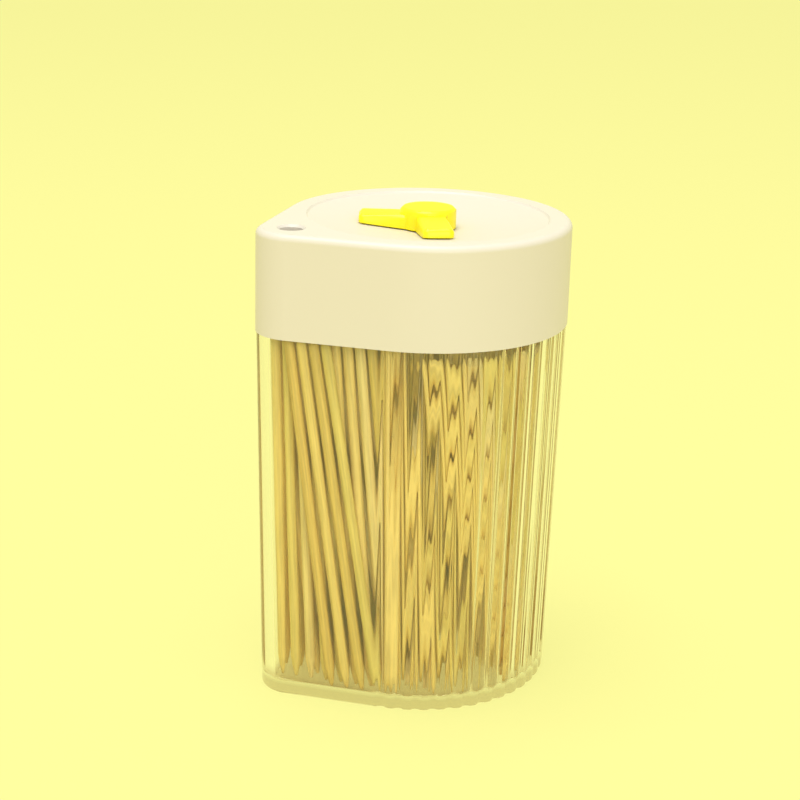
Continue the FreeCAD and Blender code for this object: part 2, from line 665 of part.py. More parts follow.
def taper(label, reach_at_foot, reach_at_head):
    """Four-sided block as long as a toothpick, narrow at the end that it points."""
    block = doc.addObject("Part::Wedge", label)
    bind(block, "Ymin", as_size(0))
    bind(block, "Ymax", dim["pick_length"])
    for low, high, reach in (("Xmin", "Xmax", reach_at_foot), ("Zmin", "Zmax", reach_at_foot),
                             ("X2min", "X2max", reach_at_head), ("Z2min", "Z2max", reach_at_head)):
        bind(block, low, -reach)
        bind(block, high, reach)
    block.Placement = Placement(Vector(), Rotation(Vector(1, 0, 0), 90))
    return block


def pick_blocks():
    """Three blocks that share a toothpick: the cane between its two hewn points."""
    cane = doc.addObject("Part::Prism", "cane")
    bind(cane, "Polygon", dim["pick_sides"])
    bind(cane, "Circumradius", dim["pick_radius"])
    bind(cane, "Height", dim["pick_length"])
    tip = dim["pick_tip_radius"]
    wide = tip + (dim["pick_radius"] - tip) / dim["pick_point"] * dim["pick_length"]
    return [cane, taper("foot_point", tip, wide), taper("head_point", wide, tip)]


def row_limits(depth, reach, corner):
    """Where a toothpick's axis may lie along a row at a level of the cavity.

    depth is the row's distance from the knob's axis, reach and corner are the cavity's round side
    and corner there. The answer runs from the round side to the corner.
    """
    clear = dim["pick_radius"].number + dim["pick_gap"].number
    middle = reach - corner
    towards_corner = reach - clear
    if depth > middle:
        towards_corner = middle + math.sqrt(max((corner - clear) ** 2 - (depth - middle) ** 2, 0))
    round_side = -math.sqrt(max((reach - clear) ** 2 - depth ** 2, 0))
    return round_side, towards_corner


def build_picks():
    """Rows of toothpicks standing against one flat, fanned towards the corner."""
    blocks = pick_blocks()
    outward = Vector(-math.sqrt(0.5), -math.sqrt(0.5), 0)
    along = Vector(-math.sqrt(0.5), math.sqrt(0.5), 0)
    radius = dim["pick_radius"].number
    gap = dim["pick_gap"].number
    slope = dim["draft_inset"].number / dim["shoulder_height"].number
    top_pitch = dim["pick_top_pitch"].number
    low_pitch = top_pitch + dim["pick_fan"].number
    length = dim["pick_length"].number
    floor = dim["floor_thick"].number + gap
    number = 0
    for row in range(int(dim["pick_rows"].number)):
        inset = radius + gap + row * (2 * radius + gap)
        low_depth = floor_reach.number - inset
        top_depth = low_depth + slope * length
        top_reach = floor_reach.number + slope * length
        top_corner = floor_corner.number + slope * length
        low_round_side, low_corner_side = row_limits(low_depth, floor_reach.number, floor_corner.number)
        top_round_side, top_corner_side = row_limits(top_depth, top_reach, top_corner)
        lean = dim["pick_lean"].number if row % 2 == 0 else dim["pick_lean_between"].number
        top_at = top_corner_side
        low_at = min(low_corner_side, top_corner_side - lean)
        while low_at > low_round_side and top_at > top_round_side:
            rise = math.sqrt(length ** 2 - (top_at - low_at) ** 2 - (slope * length) ** 2)
            tip_lift = dim["pick_tip_radius"].number * (top_at - low_at) / length
            foot = outward * low_depth + along * low_at + Vector(0, 0, floor + tip_lift)
            head = foot + along * (top_at - low_at) + outward * (slope * length) + Vector(0, 0, rise)
            number += 1
            pick = doc.addObject("Part::MultiCommon", "toothpick_%02d" % number)
            pick.Label = "toothpick_%02d" % number
            pick.Shapes = blocks
            pick.Placement = Placement(foot, Rotation(Vector(0, 0, 1), head - foot))
            parts.append(pick)
            top_at -= top_pitch
            low_at -= low_pitch


build_container()
build_lid()
build_knob()
build_cam()
build_shutter()
build_washer()
build_screw()
build_picks()
doc.recompute()

# Every feature must have worked, every cut must have taken something, every part must be one solid
for item in doc.Objects:
    if "Invalid" in item.State or "Error" in item.State:
        raise RuntimeError("failed: " + item.Label)
cuts = ("PartDesign::Pocket", "PartDesign::Groove", "PartDesign::SubtractiveLoft")
for item in doc.Objects:
    if item.TypeId in cuts and item.Shape.Volume > item.BaseFeature.Shape.Volume - 0.01:
        raise RuntimeError("cuts nothing: " + item.Label)
for part in parts:
    if part.Shape.isNull() or not part.Shape.isValid() or len(part.Shape.Solids) != 1:
        raise RuntimeError("not one valid solid: " + part.Label)

os.makedirs("parts", exist_ok=True)
for part in parts:
    part.Shape.exportStep(os.path.join("parts", part.Label + ".step"))
    print("%-14s %10.2f mm3" % (part.Label, part.Shape.Volume))
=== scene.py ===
# %% [markdown]
# A toothpick dispenser: a clear reeded cup of teardrop plan, a white lid, a yellow knob shaped like
# two clock hands, and a filling of bamboo toothpicks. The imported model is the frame: it says where
# every piece is, so it is loaded first and everything else is measured from it, in metres.

# %% Load the frame
import math
import random

import bmesh
import bpy
from mathutils import Matrix, Vector


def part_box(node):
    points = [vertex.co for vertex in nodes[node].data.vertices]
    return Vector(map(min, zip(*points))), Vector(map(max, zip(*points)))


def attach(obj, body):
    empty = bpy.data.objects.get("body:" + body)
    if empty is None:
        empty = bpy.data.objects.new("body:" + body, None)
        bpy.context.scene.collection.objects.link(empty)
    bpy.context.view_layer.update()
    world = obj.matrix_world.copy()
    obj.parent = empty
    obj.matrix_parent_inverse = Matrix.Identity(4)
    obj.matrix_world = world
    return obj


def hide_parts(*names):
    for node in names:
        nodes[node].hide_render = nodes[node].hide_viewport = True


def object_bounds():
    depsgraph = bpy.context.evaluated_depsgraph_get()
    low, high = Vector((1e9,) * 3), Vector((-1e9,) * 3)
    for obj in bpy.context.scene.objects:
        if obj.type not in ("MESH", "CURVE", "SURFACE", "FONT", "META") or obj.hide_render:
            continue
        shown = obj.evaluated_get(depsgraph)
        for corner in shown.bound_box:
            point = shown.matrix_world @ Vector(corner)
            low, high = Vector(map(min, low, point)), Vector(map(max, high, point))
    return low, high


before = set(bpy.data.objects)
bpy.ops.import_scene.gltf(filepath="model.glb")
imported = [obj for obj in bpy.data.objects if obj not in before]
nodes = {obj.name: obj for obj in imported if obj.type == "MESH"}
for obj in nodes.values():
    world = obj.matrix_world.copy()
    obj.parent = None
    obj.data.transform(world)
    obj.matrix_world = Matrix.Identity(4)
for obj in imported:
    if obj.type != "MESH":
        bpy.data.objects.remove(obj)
cad_low, cad_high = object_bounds()
print("frame:", len(nodes), "nodes, highest point", round(cad_high.z, 4))

# %% [markdown]
# Every operator acts on what is selected, and loading the frame leaves its nodes selected. So each
# step begins by deselecting everything, and faces or corners are then chosen by their place.

# %% Helpers for selecting
MM = 0.001
SAME_PLACE = 0.001 * MM


def start_fresh():
    bpy.ops.object.select_all(action="DESELECT")


def work_on(piece):
    """Makes a piece the only selected and the active one."""
    start_fresh()
    piece.select_set(True)
    bpy.context.view_layer.objects.active = piece


def choose(piece, kind, test):
    """In edit mode, selects just the corners or faces whose middle passes a test."""
    bpy.ops.mesh.select_mode(type=kind)
    bpy.ops.mesh.select_all(action="DESELECT")
    mesh = bmesh.from_edit_mesh(piece.data)
    for item in {"VERT": mesh.verts, "FACE": mesh.faces}[kind]:
        middle = item.co if kind == "VERT" else item.calc_center_median()
        if test(middle):
            item.select_set(True)
    mesh.select_flush_mode()
    bmesh.update_edit_mesh(piece.data)


# %% [markdown]
# The lid and the knob already have their true outline in the frame, but a frame node is loose
# triangles, so it shades flat. A copy whose corners are merged can be shaded smooth: edges sharper
# than an angle stay crisp, and weighted normals keep the flat faces flat right up to their rounds.
# The knob takes a wider angle, so that its bevels look round.

# %% A smooth copy of a moulded piece
SMOOTH_ANGLE = math.radians(30)
KNOB_ANGLE = math.radians(55)
MERGE_WITHIN = 0.002 * MM


def smooth_copy(node, name, body, soft=SMOOTH_ANGLE):
    work_on(nodes[node])
    bpy.ops.object.duplicate()
    piece = bpy.context.object
    piece.name = name
    piece.data.name = name
    for key in list(piece.keys()):
        del piece[key]
    piece.parent = None
    bpy.ops.object.mode_set(mode="EDIT")
    bpy.ops.mesh.customdata_custom_splitnormals_clear()
    bpy.ops.mesh.select_all(action="SELECT")
    bpy.ops.mesh.remove_doubles(threshold=MERGE_WITHIN)
    bpy.ops.object.mode_set(mode="OBJECT")
    bpy.ops.object.shade_smooth_by_angle(angle=soft)
    weigh = piece.modifiers.new("even_shading", "WEIGHTED_NORMAL")
    weigh.keep_sharp = True
    bpy.ops.object.modifier_apply(modifier="even_shading")
    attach(piece, body)
    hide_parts(node)
    print(name, len(piece.data.polygons), "faces")
    return piece


lid = smooth_copy("lid_shell", "white_lid", "lid")
knob = smooth_copy("clock_knob", "yellow_knob", "knob", KNOB_ANGLE)

# %% [markdown]
# The cup is clear, so its reeds are lenses, and their exact section decides what is seen through
# them. On the real cup a reed has a flat crest and round shoulders, and the valley between two reeds
# is a wide hollow. The cup is therefore modelled from one outline, seen from above: the round side,
# two flats and the corner. Each step of it has an anchor, the way that the wall faces there, and
# how far the surface drops below a reed's crest, so one outline serves for every level of the cup.
# The flats face 45 degrees to either side of the corner, and the reeds take up the rest.

# %% The cup's outline
CUP_REACH = 25.8 * MM
CORNER_REST = 18.4 * MM
FLAT_FACING = 135
REED_COUNT = 36
STEPS_PER_REED = 18
STEPS_TO_VALLEY = 9
CORNER_STEPS = 16
HALF_REED = 1.65 * MM
CREST_FLAT = 0.3 * MM
SHOULDER_ROUND = 0.8 * MM
VALLEY_ROUND = 1.22 * MM
STEEPEST = math.radians(42)


def below_round(radius, off):
    """How far a round of a radius has fallen at a distance from its highest line."""
    return radius * (1 - math.cos(math.asin(min(off / radius, 1))))


def reed_drop(off):
    """How far the surface lies below the crest at a distance from the middle of a reed."""
    off = abs(off)
    if off < CREST_FLAT:
        return 0.0
    if off < CREST_FLAT + SHOULDER_ROUND * math.sin(STEEPEST):
        return below_round(SHOULDER_ROUND, off - CREST_FLAT)
    depth = (SHOULDER_ROUND + VALLEY_ROUND) * (1 - math.cos(STEEPEST))
    return depth - below_round(VALLEY_ROUND, max(HALF_REED - off, 0))


def facing(degrees):
    return Vector((math.cos(math.radians(degrees)), math.sin(math.radians(degrees)), 0))


def flat_steps(side):
    """Steps along a flat, from the corner to the reeds. The last stretch is half a reed's side."""
    to_valley = [HALF_REED * (1 - step / STEPS_TO_VALLEY) for step in range(STEPS_TO_VALLEY + 1)]
    steps = []
    for left in [CORNER_REST * share for share in (1, 0.8, 0.6, 0.4, 0.2)] + to_valley:
        anchor = (corner_centre / CORNER_REST - facing(side)) * left
        steps.append((anchor, facing(side), reed_drop(max(HALF_REED - left, 0))))
    return steps


corner_centre = Vector((-CORNER_REST * math.sqrt(2), 0, 0))
outline = []
reed_steps = REED_COUNT * STEPS_PER_REED
for step in range(1, reed_steps):
    across = (step % STEPS_PER_REED) / STEPS_PER_REED - 0.5
    way = facing(FLAT_FACING * (2 * step / reed_steps - 1))
    outline.append((Vector(), way, reed_drop(across * 2 * HALF_REED)))
outline += flat_steps(FLAT_FACING)[::-1]
for step in range(1, CORNER_STEPS):
    way = facing(FLAT_FACING + 2 * (180 - FLAT_FACING) * step / CORNER_STEPS)
    outline.append((corner_centre - way * CORNER_REST, way, 0.0))
outline += flat_steps(-FLAT_FACING)
print("outline:", len(outline), "steps")

# %% [markdown]
# The cup then rises from its foot ring by ring: a circle with as many corners as the outline is
# extruded again and again, and each new ring is put on the outline at its own level and inset, with
# or without the reeds. The outside goes up to the shoulder and the collar, and the inside comes down
# again to the floor. The first and the last ring are closed with a face.

# %% Raise the cup
SHOULDER = 68.1 * MM
COLLAR_TOP = 74.1 * MM
FLOOR_LEVEL = 2.0 * MM
DRAFT = 1.25 * MM
FOOT_ROUND = 0.8 * MM
WALL = 2.2 * MM
COLLAR_INSET = 1.2 * MM
LEAD = 0.4 * MM
FLOOR_ROUND = 1.0 * MM
QUARTER_TURN = [math.pi / 6 * step for step in range(4)]

foot = [(FOOT_ROUND * (1 - math.cos(turn)), DRAFT + FOOT_ROUND * (1 - math.sin(turn)), True)
        for turn in QUARTER_TURN]
shoulder = [(SHOULDER, 0, True), (SHOULDER, COLLAR_INSET, False)]
collar = [(COLLAR_TOP - LEAD, COLLAR_INSET, False), (COLLAR_TOP, COLLAR_INSET + LEAD, False),
          (COLLAR_TOP, WALL, False), (SHOULDER, WALL, False)]
cavity = [(FLOOR_LEVEL + FLOOR_ROUND * (1 - math.sin(turn)),
           WALL + DRAFT + FLOOR_ROUND * (1 - math.cos(turn)), False) for turn in QUARTER_TURN]


def put_on_outline(piece, level, inset, reeded):
    """Moves the selected ring of corners to its level."""
    mesh = bmesh.from_edit_mesh(piece.data)
    place = mesh.verts.layers.int["place"]
    for corner in mesh.verts:
        if corner.select:
            anchor, way, drop = outline[corner[place]]
            reach = CUP_REACH - inset - (drop if reeded else 0)
            corner.co = anchor + way * reach + Vector((0, 0, level))
    bmesh.update_edit_mesh(piece.data)


start_fresh()
bpy.ops.mesh.primitive_circle_add(vertices=len(outline), radius=CUP_REACH)
cup = bpy.context.object
cup.name = "clear_cup"
bpy.ops.object.mode_set(mode="EDIT")
mesh = bmesh.from_edit_mesh(cup.data)
place = mesh.verts.layers.int.new("place")
for number, corner in enumerate(mesh.verts):
    corner[place] = number
put_on_outline(cup, *foot[0])
for ring in foot[1:] + shoulder + collar + cavity:
    bpy.ops.mesh.extrude_region_move()
    put_on_outline(cup, *ring)
for closed_at in (FLOOR_LEVEL, 0):
    choose(cup, "VERT", lambda middle: abs(middle.z - closed_at) < SAME_PLACE)
    bpy.ops.mesh.edge_face_add()
bpy.ops.mesh.select_all(action="SELECT")
bpy.ops.mesh.normals_make_consistent(inside=False)
bpy.ops.object.mode_set(mode="OBJECT")
cup.data.attributes.remove(cup.data.attributes["place"])
bpy.ops.object.shade_smooth_by_angle(angle=SMOOTH_ANGLE)
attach(cup, "cup")
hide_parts("container")
print("cup:", len(cup.data.polygons), "faces")

# %% [markdown]
# A toothpick is a turned bamboo stick with a blunt head and a pointed foot. It is modelled once,
# standing at the origin: a cylinder whose two end faces are drawn out and shrunk. Each toothpick in
# the cup is a copy with its own mesh. Before a copy is laid in place it keeps a note of where each
# point of it was, so that the grain runs along the stick however it leans, and a tone, because no
# two sticks have quite the same colour.

# %% Model one toothpick
PICK_LENGTH = 67 * MM
PICK_RADIUS = 0.95 * MM
FOOT_POINT = 4 * MM
HEAD_POINT = 1.5 * MM
PICK_SIDES = 10
PICK_SMOOTH_ANGLE = math.radians(50)
POINT_STEPS = ((0.55, 0.68), (0.35, 0.55), (0.1, 0.67))

start_fresh()
bpy.ops.mesh.primitive_cylinder_add(vertices=PICK_SIDES, radius=PICK_RADIUS,
                                    depth=PICK_LENGTH - HEAD_POINT - FOOT_POINT,
                                    location=(0, 0, (PICK_LENGTH - HEAD_POINT + FOOT_POINT) / 2))
pick_pattern = bpy.context.object
bpy.ops.object.transform_apply(location=True, rotation=True, scale=True)
bpy.ops.object.mode_set(mode="EDIT")
for end, point in ((PICK_LENGTH - HEAD_POINT, HEAD_POINT), (FOOT_POINT, -FOOT_POINT)):
    for share, width in POINT_STEPS:
        choose(pick_pattern, "FACE", lambda middle: abs(middle.z - end) < SAME_PLACE)
        step = point * share
        bpy.ops.mesh.extrude_region_move(TRANSFORM_OT_translate={"value": (0, 0, step)})
        bpy.ops.transform.resize(value=(width, width, 1))
        end += step
bpy.ops.object.mode_set(mode="OBJECT")
bpy.ops.object.shade_smooth_by_angle(angle=PICK_SMOOTH_ANGLE)
print("toothpick:", len(pick_pattern.data.polygons), "faces")

# %% [markdown]
# The toothpicks that lean on the flat are in the frame one by one. Each of those is replaced by a
# copy of the finished stick, from the foot to the head of the node that it stands for.

# %% Lay toothpicks in the cup
END_REACH = 0.5 * MM
chance = random.Random(7)


def lay_pick(name, foot, head):
    """A copy of the pattern, from foot towards head, with its grain and its tone."""
    work_on(pick_pattern)
    bpy.ops.object.duplicate()
    pick = bpy.context.object
    pick.name = name
    pick.data.name = name
    seed = Vector((chance.uniform(0, 1), chance.uniform(0, 1), chance.uniform(0, 1)))
    tone = chance.random()
    grain = pick.data.attributes.new("grain", "FLOAT_VECTOR", "POINT")
    grain.data.foreach_set("vector", [c for v in pick.data.vertices for c in v.co + seed])
    shade = pick.data.attributes.new("tone", "FLOAT", "POINT")
    shade.data.foreach_set("value", [tone] * len(pick.data.vertices))
    lean = (head - foot).normalized()
    turn = lean.to_track_quat("Z", "Y").to_matrix().to_4x4()
    pick.matrix_world = Matrix.Translation(foot) @ turn @ Matrix.Rotation(seed.x * 6, 4, "Z")
    bpy.ops.object.transform_apply(location=True, rotation=True, scale=True)
    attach(pick, "cup")
    return pick


def node_ends(node):
    """The middles of the lowest and highest ring of a stick in the frame."""
    low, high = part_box(node)
    points = [v.co for v in nodes[node].data.vertices]
    feet = [p for p in points if p.z < low.z + END_REACH]
    heads = [p for p in points if p.z > high.z - END_REACH]
    return sum(feet, Vector()) / len(feet), sum(heads, Vector()) / len(heads)


picks = []
for node in sorted(n for n in nodes if n.startswith("toothpick_")):
    foot, head = node_ends(node)
    pick = lay_pick(node.replace("toothpick", "stick"), foot, head)
    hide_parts(node)
    picks.append(pick)
print("sticks of the frame:", len(picks))

# %% [markdown]
# Behind those rows the cup is full too. Toothpicks poured into a round cup twist: each stands a
# little further round at its foot than at its head. So the rest is laid in rings from the wall
# inwards, every stick turned by the same step, and a stick is laid only where it clears all that
# already stand there. Where the twist leaves gaps, straighter sticks fill them. A stick is known by
# two points seen from above, the places of its foot and its head.

# %% Fill the cup behind the front rows
CAVITY_AT_FEET = CUP_REACH - DRAFT - WALL
CAVITY_AT_HEADS = CAVITY_AT_FEET + 1.2 * MM
FEET_AT = FLOOR_LEVEL + 0.1 * MM
WALL_GAP = PICK_RADIUS + 0.1 * MM
CLEAR_APART = 2.04 * MM
TWISTS = (54, 38, 20, 6)
RING_GAP = 2.1 * MM
SMALLEST_RING = 1.5 * MM
TRY_EVERY = 2.3 * MM / 3
flat_sides = [facing(side).xy for side in (-FLAT_FACING, FLAT_FACING)]


def in_cavity(point, reach):
    """Whether a stick's end clears the wall, where the cavity's round side has this reach."""
    if max(point.dot(side) for side in flat_sides) > reach - WALL_GAP:
        return False
    if abs(point.y) < -point.x:
        in_corner = (point - corner_centre.xy).length < reach - CORNER_REST - WALL_GAP
        return point.x > corner_centre.x or in_corner
    return point.length < reach - WALL_GAP


def nearest(one, other):
    """Least level distance between two sticks."""
    apart = one[0] - other[0]
    change = (one[1] - other[1]) - apart
    along = change.length_squared
    where = min(max(-apart.dot(change) / along, 0), 1) if along > 0 else 0
    return (apart + change * where).length


def try_stick(foot, head):
    """Lays a stick if both its ends are in the cup and it clears the others."""
    if not (in_cavity(foot, CAVITY_AT_FEET) and in_cavity(head, CAVITY_AT_HEADS)):
        return
    if any(nearest((foot, head), other) < CLEAR_APART for other in standing):
        return
    standing.append((foot, head))
    rise = math.sqrt(PICK_LENGTH ** 2 - (head - foot).length_squared)
    name = "filling_%03d" % (len(filling) + 1)
    filling.append(lay_pick(name, Vector((*foot, FEET_AT)), Vector((*head, FEET_AT + rise))))


def on_ring(turn, reach):
    return Vector((math.cos(turn), math.sin(turn))) * reach


standing = []
for node in sorted(n for n in nodes if n.startswith("toothpick_")):
    foot, head = node_ends(node)
    standing.append((foot.xy, head.xy))

filling = []
for twist in TWISTS:
    ring = CAVITY_AT_FEET - WALL_GAP
    while ring > SMALLEST_RING:
        spread = ring * CAVITY_AT_HEADS / CAVITY_AT_FEET
        back = math.radians(twist) * ring / CAVITY_AT_FEET
        step = TRY_EVERY / ring
        for number in range(int(2 * math.pi / step)):
            try_stick(on_ring(number * step, ring), on_ring(number * step - back, spread))
        ring -= RING_GAP
print("in rings:", len(filling))

# %% [markdown]
# The rings miss the cup's corner, because it lies beyond the round side. What the front rows leave
# free there is tried place by place, from the corner inwards, with sticks that lean less and less.

# %% Fill the corner
CORNER_LEANS = (4 * MM, 1.5 * MM, 0)
LEAN_WAY = Vector((-0.7, 0.7))
CORNER_START = -31 * MM
INWARD_EVERY = 1.0 * MM
INWARD_PLACES = 30
ACROSS_EVERY = 1.05 * MM
ACROSS_PLACES = 12
for lean in CORNER_LEANS:
    for across in range(-ACROSS_PLACES, ACROSS_PLACES + 1):
        for inward in range(INWARD_PLACES):
            foot = Vector((CORNER_START + inward * INWARD_EVERY, across * ACROSS_EVERY))
            try_stick(foot, foot + LEAN_WAY * lean)
bpy.data.objects.remove(pick_pattern)
print("sticks behind:", len(filling))

# %% [markdown]
# Finishes. A few small helpers keep the materials short. What goes into a math node, and the share
# of a mix, is either a number or another node's output.

# %% Helpers for materials
def feed(tree, socket, value):
    """Joins a socket to another node's output, or sets it to a number."""
    if isinstance(value, (int, float)):
        socket.default_value = value
    else:
        tree.links.new(value, socket)


def maths(tree, operation, *values):
    node = tree.nodes.new("ShaderNodeMath")
    node.operation = operation
    for socket, value in zip(node.inputs, values):
        feed(tree, socket, value)
    return node.outputs[0]


def mix_of(tree, share, first, second):
    """A mix of two shaders: the share is that of the second."""
    node = tree.nodes.new("ShaderNodeMixShader")
    feed(tree, node.inputs[0], share)
    tree.links.new(first.outputs[0], node.inputs[1])
    tree.links.new(second.outputs[0], node.inputs[2])
    return node


def new_material(name):
    material = bpy.data.materials.new(name)
    material.use_nodes = True
    return material, material.node_tree, material.node_tree.nodes["Principled BSDF"]


def dress(piece, material):
    piece.data.materials.clear()
    piece.data.materials.append(material)


# %% [markdown]
# Moulded plastic is never quite even: its gloss varies a little and its surface has a faint ripple.
# Both come from one shared group, which each plastic uses with its own strength.

# %% A shared group for moulded surfaces
def new_group(name, inputs, outputs):
    group = bpy.data.node_groups.new(name, "ShaderNodeTree")
    for label, kind, value in inputs:
        socket = group.interface.new_socket(name=label, in_out="INPUT", socket_type=kind)
        socket.default_value = value
    for label, kind in outputs:
        group.interface.new_socket(name=label, in_out="OUTPUT", socket_type=kind)
    return group, group.nodes.new("NodeGroupInput"), group.nodes.new("NodeGroupOutput")


moulded, moulded_in, moulded_out = new_group(
    "moulded_surface",
    [("Gloss", "NodeSocketFloat", 0.3), ("Spread", "NodeSocketFloat", 0.05),
     ("Ripple", "NodeSocketFloat", 0.02)],
    [("Roughness", "NodeSocketFloat"), ("Normal", "NodeSocketVector")])
place = moulded.nodes.new("ShaderNodeTexCoord")
cloud = moulded.nodes.new("ShaderNodeTexNoise")
cloud.inputs["Scale"].default_value = 60
cloud.inputs["Detail"].default_value = 3
fine = moulded.nodes.new("ShaderNodeTexNoise")
fine.inputs["Scale"].default_value = 350
bump = moulded.nodes.new("ShaderNodeBump")
bump.inputs["Distance"].default_value = 0.1 * MM
links = moulded.links
links.new(place.outputs["Object"], cloud.inputs["Vector"])
links.new(place.outputs["Object"], fine.inputs["Vector"])
uneven = maths(moulded, "SUBTRACT", cloud.outputs["Fac"], 0.5)
swing = maths(moulded, "MULTIPLY_ADD", uneven, moulded_in.outputs["Spread"], moulded_in.outputs["Gloss"])
links.new(swing, moulded_out.inputs["Roughness"])
links.new(fine.outputs["Fac"], bump.inputs["Height"])
links.new(moulded_in.outputs["Ripple"], bump.inputs["Strength"])
links.new(bump.outputs["Normal"], moulded_out.inputs["Normal"])


# %% [markdown]
# Each opaque finish is one Principled shader fed by that group. The washer and the screw are the
# only metal.

# %% Opaque finishes
def finish(name, colour, gloss, spread, ripple, metallic=0.0):
    material, tree, shader = new_material(name)
    surface = tree.nodes.new("ShaderNodeGroup")
    surface.node_tree = moulded
    surface.inputs["Gloss"].default_value = gloss
    surface.inputs["Spread"].default_value = spread
    surface.inputs["Ripple"].default_value = ripple
    tree.links.new(surface.outputs["Roughness"], shader.inputs["Roughness"])
    tree.links.new(surface.outputs["Normal"], shader.inputs["Normal"])
    shader.inputs["Base Color"].default_value = (*colour, 1)
    shader.inputs["Metallic"].default_value = metallic
    return material


dress(lid, finish("lid_white", (0.69, 0.64, 0.54), 0.42, 0.08, 0.05))
dress(knob, finish("knob_yellow", (1.0, 0.86, 0.0), 0.38, 0.08, 0.04))
works_white = finish("works_white", (0.88, 0.86, 0.78), 0.5, 0.1, 0.05)
dress(nodes["cam_disc"], works_white)
dress(nodes["shutter"], works_white)
zinc_plated = finish("zinc_plated", (0.62, 0.63, 0.62), 0.32, 0.2, 0.1, metallic=1.0)
dress(nodes["cam_washer"], zinc_plated)
dress(nodes["cam_screw"], zinc_plated)

# %% [markdown]
# The clear cup bends light for real: full transmission at the index of clear styrene. A pure glass
# shader would cast a dark shadow on the sticks inside, so for shadow rays the wall counts as almost
# see-through. Light that has already been thrown back and forth within the wall would run out and
# leave black lines, so it goes straight on, each time a little weaker and warmer; this dimming is
# painted shade that greys the cup's edges and foot. The foot and floor of the cup also get a greyish,
# warm base colour, which is painted shade for the dark band at the bottom of the cup.

# %% Clear plastic
CLEAR_INDEX = 1.57
CLEAR_COLOUR = (0.985, 0.985, 0.96, 1)
# Painted shade: a greyish, warm base colour for the cup's foot and floor.
FOOT_PAINTED_SHADE = (0.58, 0.48, 0.42, 1)
FADES_OVER = 1.5 * MM
MOST_REFLECTIONS = 1.5
MOST_BOUNCES = 5.5

styrene, styrene_tree, styrene_shader = new_material("clear_styrene")
foot_at = styrene_tree.nodes.new("ShaderNodeTexCoord")
foot_height = styrene_tree.nodes.new("ShaderNodeSeparateXYZ")
above_foot = styrene_tree.nodes.new("ShaderNodeMapRange")
above_foot.inputs["From Min"].default_value = FLOOR_LEVEL
above_foot.inputs["From Max"].default_value = FLOOR_LEVEL + FADES_OVER
# Painted shade: up to the floor's level the base colour is the greyish foot colour, fading to clear over
# the next 1.5 mm.
foot_shade_tint = styrene_tree.nodes.new("ShaderNodeMix")
foot_shade_tint.data_type = "RGBA"
foot_shade_tint.inputs[6].default_value = FOOT_PAINTED_SHADE
foot_shade_tint.inputs[7].default_value = CLEAR_COLOUR
links = styrene_tree.links
links.new(foot_at.outputs["Object"], foot_height.inputs[0])
links.new(foot_height.outputs["Z"], above_foot.inputs["Value"])
links.new(above_foot.outputs["Result"], foot_shade_tint.inputs[0])
links.new(foot_shade_tint.outputs[2], styrene_shader.inputs["Base Color"])
styrene_shader.inputs["Roughness"].default_value = 0.02
styrene_shader.inputs["IOR"].default_value = CLEAR_INDEX
styrene_shader.inputs["Transmission Weight"].default_value = 1.0

seen_through = styrene_tree.nodes.new("ShaderNodeBsdfTransparent")
seen_through.inputs["Color"].default_value = (0.98, 0.98, 0.95, 1)
# Painted shade: rays that have bounced often in the wall go on through this darker, warmer filter, which
# greys the cup's edges and foot.
painted_dimming = styrene_tree.nodes.new("ShaderNodeBsdfTransparent")
painted_dimming.inputs["Color"].default_value = (0.80, 0.72, 0.60, 1)
path = styrene_tree.nodes.new("ShaderNodeLightPath").outputs
often_reflected = maths(styrene_tree, "GREATER_THAN", path["Glossy Depth"], MOST_REFLECTIONS)
often_bent = maths(styrene_tree, "GREATER_THAN", path["Ray Depth"], MOST_BOUNCES)
spent = maths(styrene_tree, "MAXIMUM", often_reflected, often_bent)
lit = mix_of(styrene_tree, spent, styrene_shader, painted_dimming)
whole = mix_of(styrene_tree, path["Is Shadow Ray"], lit, seen_through)
links.new(whole.outputs[0], styrene_tree.nodes["Material Output"].inputs["Surface"])
dress(cup, styrene)

# %% [markdown]
# Bamboo has fine fibres along the stick, a colour that drifts from stick to stick between amber,
# gold and straw, and a few darker fibres. The grain attribute carries the stick's own
# coordinates, so the noise is simply stretched along its length. A thin stick also lets some light
# through, which makes the gaps between the sticks warm and brown.

# %% Bamboo
STICK_COLOURS = ((0, (0.84, 0.57, 0.13, 1)), (0.2, (0.86, 0.72, 0.20, 1)),
                 (0.6, (0.98, 0.76, 0.23, 1)), (1, (0.98, 0.84, 0.38, 1)))
LIGHT_THROUGH = 0.22

bamboo, bamboo_tree, bamboo_shader = new_material("bamboo")
grain_at = bamboo_tree.nodes.new("ShaderNodeAttribute")
grain_at.attribute_name = "grain"
tone_at = bamboo_tree.nodes.new("ShaderNodeAttribute")
tone_at.attribute_name = "tone"
stretch = bamboo_tree.nodes.new("ShaderNodeMapping")
stretch.inputs["Scale"].default_value = (1, 1, 0.03)
fibre = bamboo_tree.nodes.new("ShaderNodeTexNoise")
fibre.inputs["Scale"].default_value = 2600
fibre.inputs["Detail"].default_value = 3
stick_colour = bamboo_tree.nodes.new("ShaderNodeValToRGB")
ramp = stick_colour.color_ramp.elements
ramp[0].color = STICK_COLOURS[0][1]
ramp[1].color = STICK_COLOURS[-1][1]
for place, colour in STICK_COLOURS[1:-1]:
    ramp.new(place).color = colour
dark_fibre = bamboo_tree.nodes.new("ShaderNodeMapRange")
dark_fibre.inputs["From Min"].default_value = 0.35
dark_fibre.inputs["From Max"].default_value = 0.62
dark_fibre.inputs["To Min"].default_value = 0.8
dark_fibre.inputs["To Max"].default_value = 1.05
shaded = bamboo_tree.nodes.new("ShaderNodeMix")
shaded.data_type = "RGBA"
shaded.blend_type = "MULTIPLY"
shaded.inputs[0].default_value = 1.0
fibre_bump = bamboo_tree.nodes.new("ShaderNodeBump")
